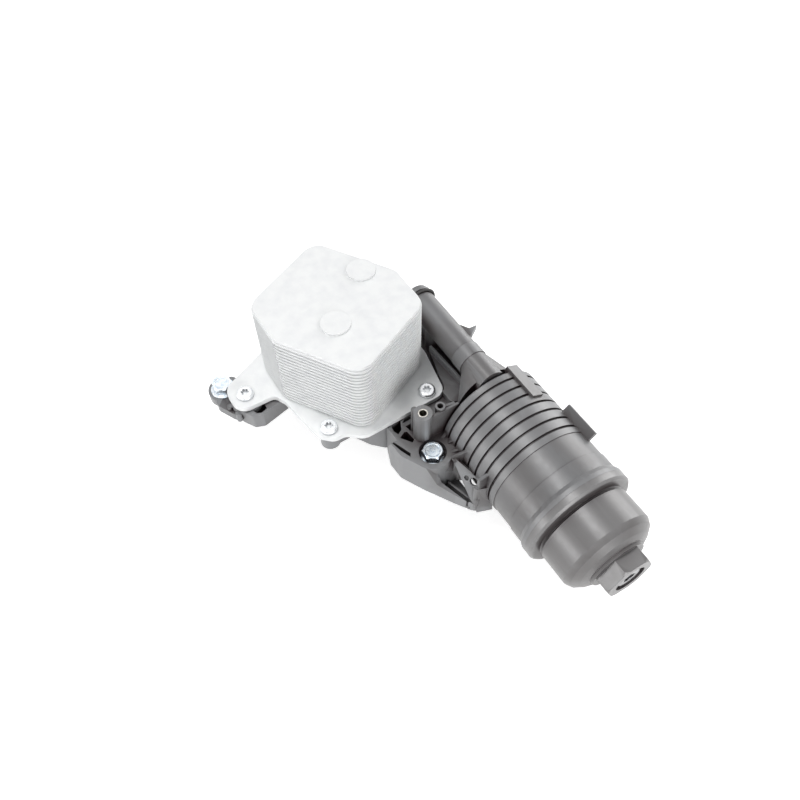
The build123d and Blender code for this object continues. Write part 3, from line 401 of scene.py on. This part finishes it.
def tube_faces(row_count, column_count):
    """Faces of a closed skin: rings joined row by row, with one face at each end."""
    faces = []
    for row in range(row_count - 1):
        for column in range(column_count):
            after = (column + 1) % column_count
            low, high = row * column_count, (row + 1) * column_count
            faces.append((low + column, low + after, high + after, high + column))
    faces.append(tuple(range(column_count)))
    last = (row_count - 1) * column_count
    faces.append(tuple(last + column for column in range(column_count)))
    return faces


def round_radius(radius):
    """A ring's radius that is the same all round."""
    return lambda angle: radius


def thread_radius(z, tip_z, end_z):
    """Radius about a threaded rod at one level, faded out at both ends of the thread."""
    fade = min(1.0, (z - tip_z) / BOLT_PITCH, (end_z - z) / BOLT_PITCH)
    depth = (BOLT_RADIUS - BOLT_ROOT_RADIUS) * max(0.0, fade)

    def radius(angle):
        phase = (z / BOLT_PITCH - angle / math.tau) % 1.0
        ridge = min(1.0, BOLT_FLANK_SLOPE * abs(2.0 * phase - 1.0))
        return BOLT_RADIUS - depth * (1.0 - ridge)

    return radius


def hexagon_radius(cut):
    """Radius about the bolt's hexagon, never more than the turned corner."""
    flat = BOLT_HEX_ACROSS_FLATS / 2
    half_side = math.pi / 6

    def radius(angle):
        from_flat = (angle - BOLT_TURN + half_side) % (2 * half_side) - half_side
        return min(flat / math.cos(from_flat), cut)

    return radius


def bolt_rows(foot_z):
    """Rings of a flange bolt from its tip to the dished top of its head."""
    tip_z = foot_z - BOLT_THREAD_LENGTH
    step = BOLT_PITCH / BOLT_ROWS_PER_PITCH
    count = int((BOLT_THREAD_LENGTH - BOLT_TIP_LENGTH) / step)
    rows = [(tip_z, round_radius(BOLT_TIP_RADIUS))]
    for index in range(count + 1):
        z = tip_z + BOLT_TIP_LENGTH + index * step
        rows.append((z, thread_radius(z, tip_z, foot_z)))
    rim_z = BOLT_SEAT_Z + BOLT_RIM_HEIGHT
    top_z = BOLT_SEAT_Z + BOLT_HEAD_HEIGHT
    corner = BOLT_HEX_ACROSS_FLATS / math.sqrt(3)
    rows += [
        (foot_z, round_radius(BOLT_RADIUS)),
        (foot_z + BOLT_EDGE, round_radius(BOLT_WAIST_RADIUS)),
        (BOLT_SEAT_Z, round_radius(BOLT_WAIST_RADIUS)),
        (BOLT_SEAT_Z, round_radius(BOLT_FLANGE_RADIUS - BOLT_EDGE)),
        (BOLT_SEAT_Z + BOLT_EDGE, round_radius(BOLT_FLANGE_RADIUS)),
        (rim_z, round_radius(BOLT_FLANGE_RADIUS)),
        (rim_z + BOLT_EDGE, round_radius(BOLT_FLANGE_RADIUS - BOLT_EDGE)),
        (BOLT_SEAT_Z + BOLT_FLANGE_HEIGHT, hexagon_radius(corner)),
        (top_z - BOLT_CORNER_CUT, hexagon_radius(corner)),
        (top_z, hexagon_radius(corner - BOLT_CORNER_CUT)),
        (top_z, round_radius(BOLT_DISH_RADIUS)),
        (top_z - BOLT_DISH_DEPTH, round_radius(BOLT_DISH_FLOOR_RADIUS)),
    ]
    return rows


def make_bolts():
    """Three flange bolts with rolled threads, in place of the plain ones."""
    mounts = {mount["name"]: mount["pos_m"] for mount in frame["record"]["mounts"]}
    for name in BOLT_MOUNTS:
        x, y, foot_z = (value / MM for value in mounts[name])
        rows = bolt_rows(foot_z)
        vertices = []
        for z, radius in rows:
            for column in range(BOLT_COLUMNS):
                angle = math.tau * column / BOLT_COLUMNS
                reach = radius(angle)
                vertices.append((x + reach * math.cos(angle), y + reach * math.sin(angle), z))
        piece = add_piece(name, vertices, tube_faces(len(rows), BOLT_COLUMNS), "housing", "bolt_steel")
        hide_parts("mounting_bolts")


def cap_thread_fade(step, steps):
    """Share of its full height that the cap's thread has at one step."""
    if step in (0, steps):
        return CAP_THREAD_END_HEIGHT
    turn = step / CAP_THREAD_STEPS_PER_TURN
    return min(1.0, turn / CAP_THREAD_RUN_OUT, (CAP_THREAD_TURNS - turn) / CAP_THREAD_RUN_OUT)


def make_cap_thread():
    """Low helical ridge on the skirt of the cap."""
    hinge = next(joint for joint in frame["record"]["behaviour"]["joints"] if joint["name"] == "cap_turn")
    axis_y, axis_z = (value / MM for value in hinge["pos_m"][1:])
    section = (
        (-CAP_THREAD_HALF_FOOT, -CAP_THREAD_SINK),
        (-CAP_THREAD_HALF_CREST, CAP_THREAD_HEIGHT),
        (CAP_THREAD_HALF_CREST, CAP_THREAD_HEIGHT),
        (CAP_THREAD_HALF_FOOT, -CAP_THREAD_SINK),
    )
    steps = int(CAP_THREAD_STEPS_PER_TURN * CAP_THREAD_TURNS)
    vertices = []
    for step in range(steps + 1):
        turn = step / CAP_THREAD_STEPS_PER_TURN
        angle = math.tau * turn
        fade = cap_thread_fade(step, steps)
        for along, height in section:
            radius = CAP_THREAD_RADIUS - CAP_THREAD_SINK + (height + CAP_THREAD_SINK) * fade
            x = CAP_THREAD_START_X + CAP_THREAD_PITCH * turn + along
            vertices.append((x, axis_y + radius * math.cos(angle), axis_z + radius * math.sin(angle)))
    add_piece("cap_thread", vertices, tube_faces(steps + 1, len(section)), "cap", "cap_nylon")


def make_valve_springs():
    """The two valves' springs, copied onto the housing in place of the originals."""
    for node_name, joint, lift, direction in (
        ("bypass_spring", "bypass_lift", BYPASS_LIFT, -1.0),
        ("check_valve_spring", "check_lift", CHECK_LIFT, 1.0),
    ):
        piece = bpy.data.objects.new(node_name + "_coil", frame["nodes"][node_name].data.copy())
        bpy.context.collection.objects.link(piece)
        dress(piece, node_slots[node_name])
        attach(piece, "housing")
        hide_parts(node_name)
        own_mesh(piece)


def make_pocket_web():
    """Floor and rib in the skirt's pocket, which the photograph shows closed."""
    for name, outline, levels in (
        ("pocket_floor", POCKET_FLOOR, POCKET_FLOOR_Z),
        ("pocket_rib", POCKET_RIB, POCKET_RIB_Z),
    ):
        vertices = [(x, y, z) for z in levels for x, y in outline]
        piece = add_piece(name, vertices, tube_faces(len(levels), len(outline)), "housing", "housing_nylon")
        rounding = piece.modifiers.new("rounding", "BEVEL")
        rounding.width = POCKET_EDGE * MM
        rounding.segments = POCKET_EDGE_SEGMENTS


def make_camera():
    """Camera at the photograph's place and angle."""
    lens = bpy.data.cameras.new("camera")
    lens.sensor_width = CAMERA_SENSOR
    lens.lens = CAMERA_LENS
    lens.clip_start = CAMERA_CLIP_START
    camera = bpy.data.objects.new("camera", lens)
    turn = Matrix((CAMERA_RIGHT, -CAMERA_DOWN, -CAMERA_FORWARD)).transposed()
    camera.matrix_world = Matrix.Translation(CAMERA_PLACE) @ turn.to_4x4()
    bpy.context.collection.objects.link(camera)
    bpy.context.scene.camera = camera


def white_for_lenses(tree, strength, seen_strength):
    """Strength that is one value for light and another for camera, mirror and glass rays."""
    path = tree.nodes.new("ShaderNodeLightPath")
    seen = path.outputs["Is Camera Ray"]
    for ray in ("Is Glossy Ray", "Is Transmission Ray"):
        both = tree.nodes.new("ShaderNodeMath")
        both.operation = "MAXIMUM"
        tree.links.new(seen, both.inputs[0])
        tree.links.new(path.outputs[ray], both.inputs[1])
        seen = both.outputs["Value"]
    spread = tree.nodes.new("ShaderNodeMapRange")
    spread.inputs["To Min"].default_value = strength
    spread.inputs["To Max"].default_value = seen_strength
    tree.links.new(seen, spread.inputs["Value"])
    return spread.outputs["Result"]


def make_world():
    """Plain white surroundings."""
    world = bpy.data.worlds.new("studio")
    world.use_nodes = True
    background = world.node_tree.nodes["Background"]
    background.inputs["Color"].default_value = opaque(WHITE)
    strength = white_for_lenses(world.node_tree, WORLD_LIGHT, WORLD_SEEN)
    world.node_tree.links.new(strength, background.inputs["Strength"])
    bpy.context.scene.world = world


def make_floor():
    """White floor that keeps a soft shadow."""
    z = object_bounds()[0][2] - FLOOR_DROP
    half = FLOOR_SIZE / 2
    corners = [(-half, -half, z), (half, -half, z), (half, half, z), (-half, half, z)]
    mesh = bpy.data.meshes.new("floor")
    mesh.from_pydata(corners, [], [tuple(range(len(corners)))])
    floor = bpy.data.objects.new("floor", mesh)
    bpy.context.collection.objects.link(floor)
    material = bpy.data.materials.new("floor")
    material.use_nodes = True
    tree = material.node_tree
    surface = tree.nodes["Principled BSDF"]
    surface.inputs["Base Color"].default_value = opaque(FLOOR_COLOUR)
    surface.inputs["Roughness"].default_value = FLOOR_ROUGHNESS
    surface.inputs["Specular IOR Level"].default_value = 0.0
    surface.inputs["Emission Color"].default_value = opaque(WHITE)
    tree.links.new(white_for_lenses(tree, 0.0, FLOOR_SEEN), surface.inputs["Emission Strength"])
    mesh.materials.append(material)


def make_lamp(name, place, aim, size, power):
    """Square soft lamp that points at a place."""
    lamp = bpy.data.lights.new(name, "AREA")
    lamp.shape = "SQUARE"
    lamp.size = size
    lamp.energy = power
    holder = bpy.data.objects.new(name, lamp)
    holder.location = place
    holder.rotation_euler = (Vector(aim) - Vector(place)).to_track_quat("-Z", "Y").to_euler()
    bpy.context.collection.objects.link(holder)


make_bolts()
make_cap_thread()
make_valve_springs()
make_pocket_web()
make_camera()
make_world()
make_floor()
middle = (Vector(cad_box[0]) + Vector(cad_box[1])) / 2
for name, place, size, power in LAMPS:
    make_lamp(name, place, middle, size, power)
bpy.context.scene.view_settings.view_transform = "Standard"
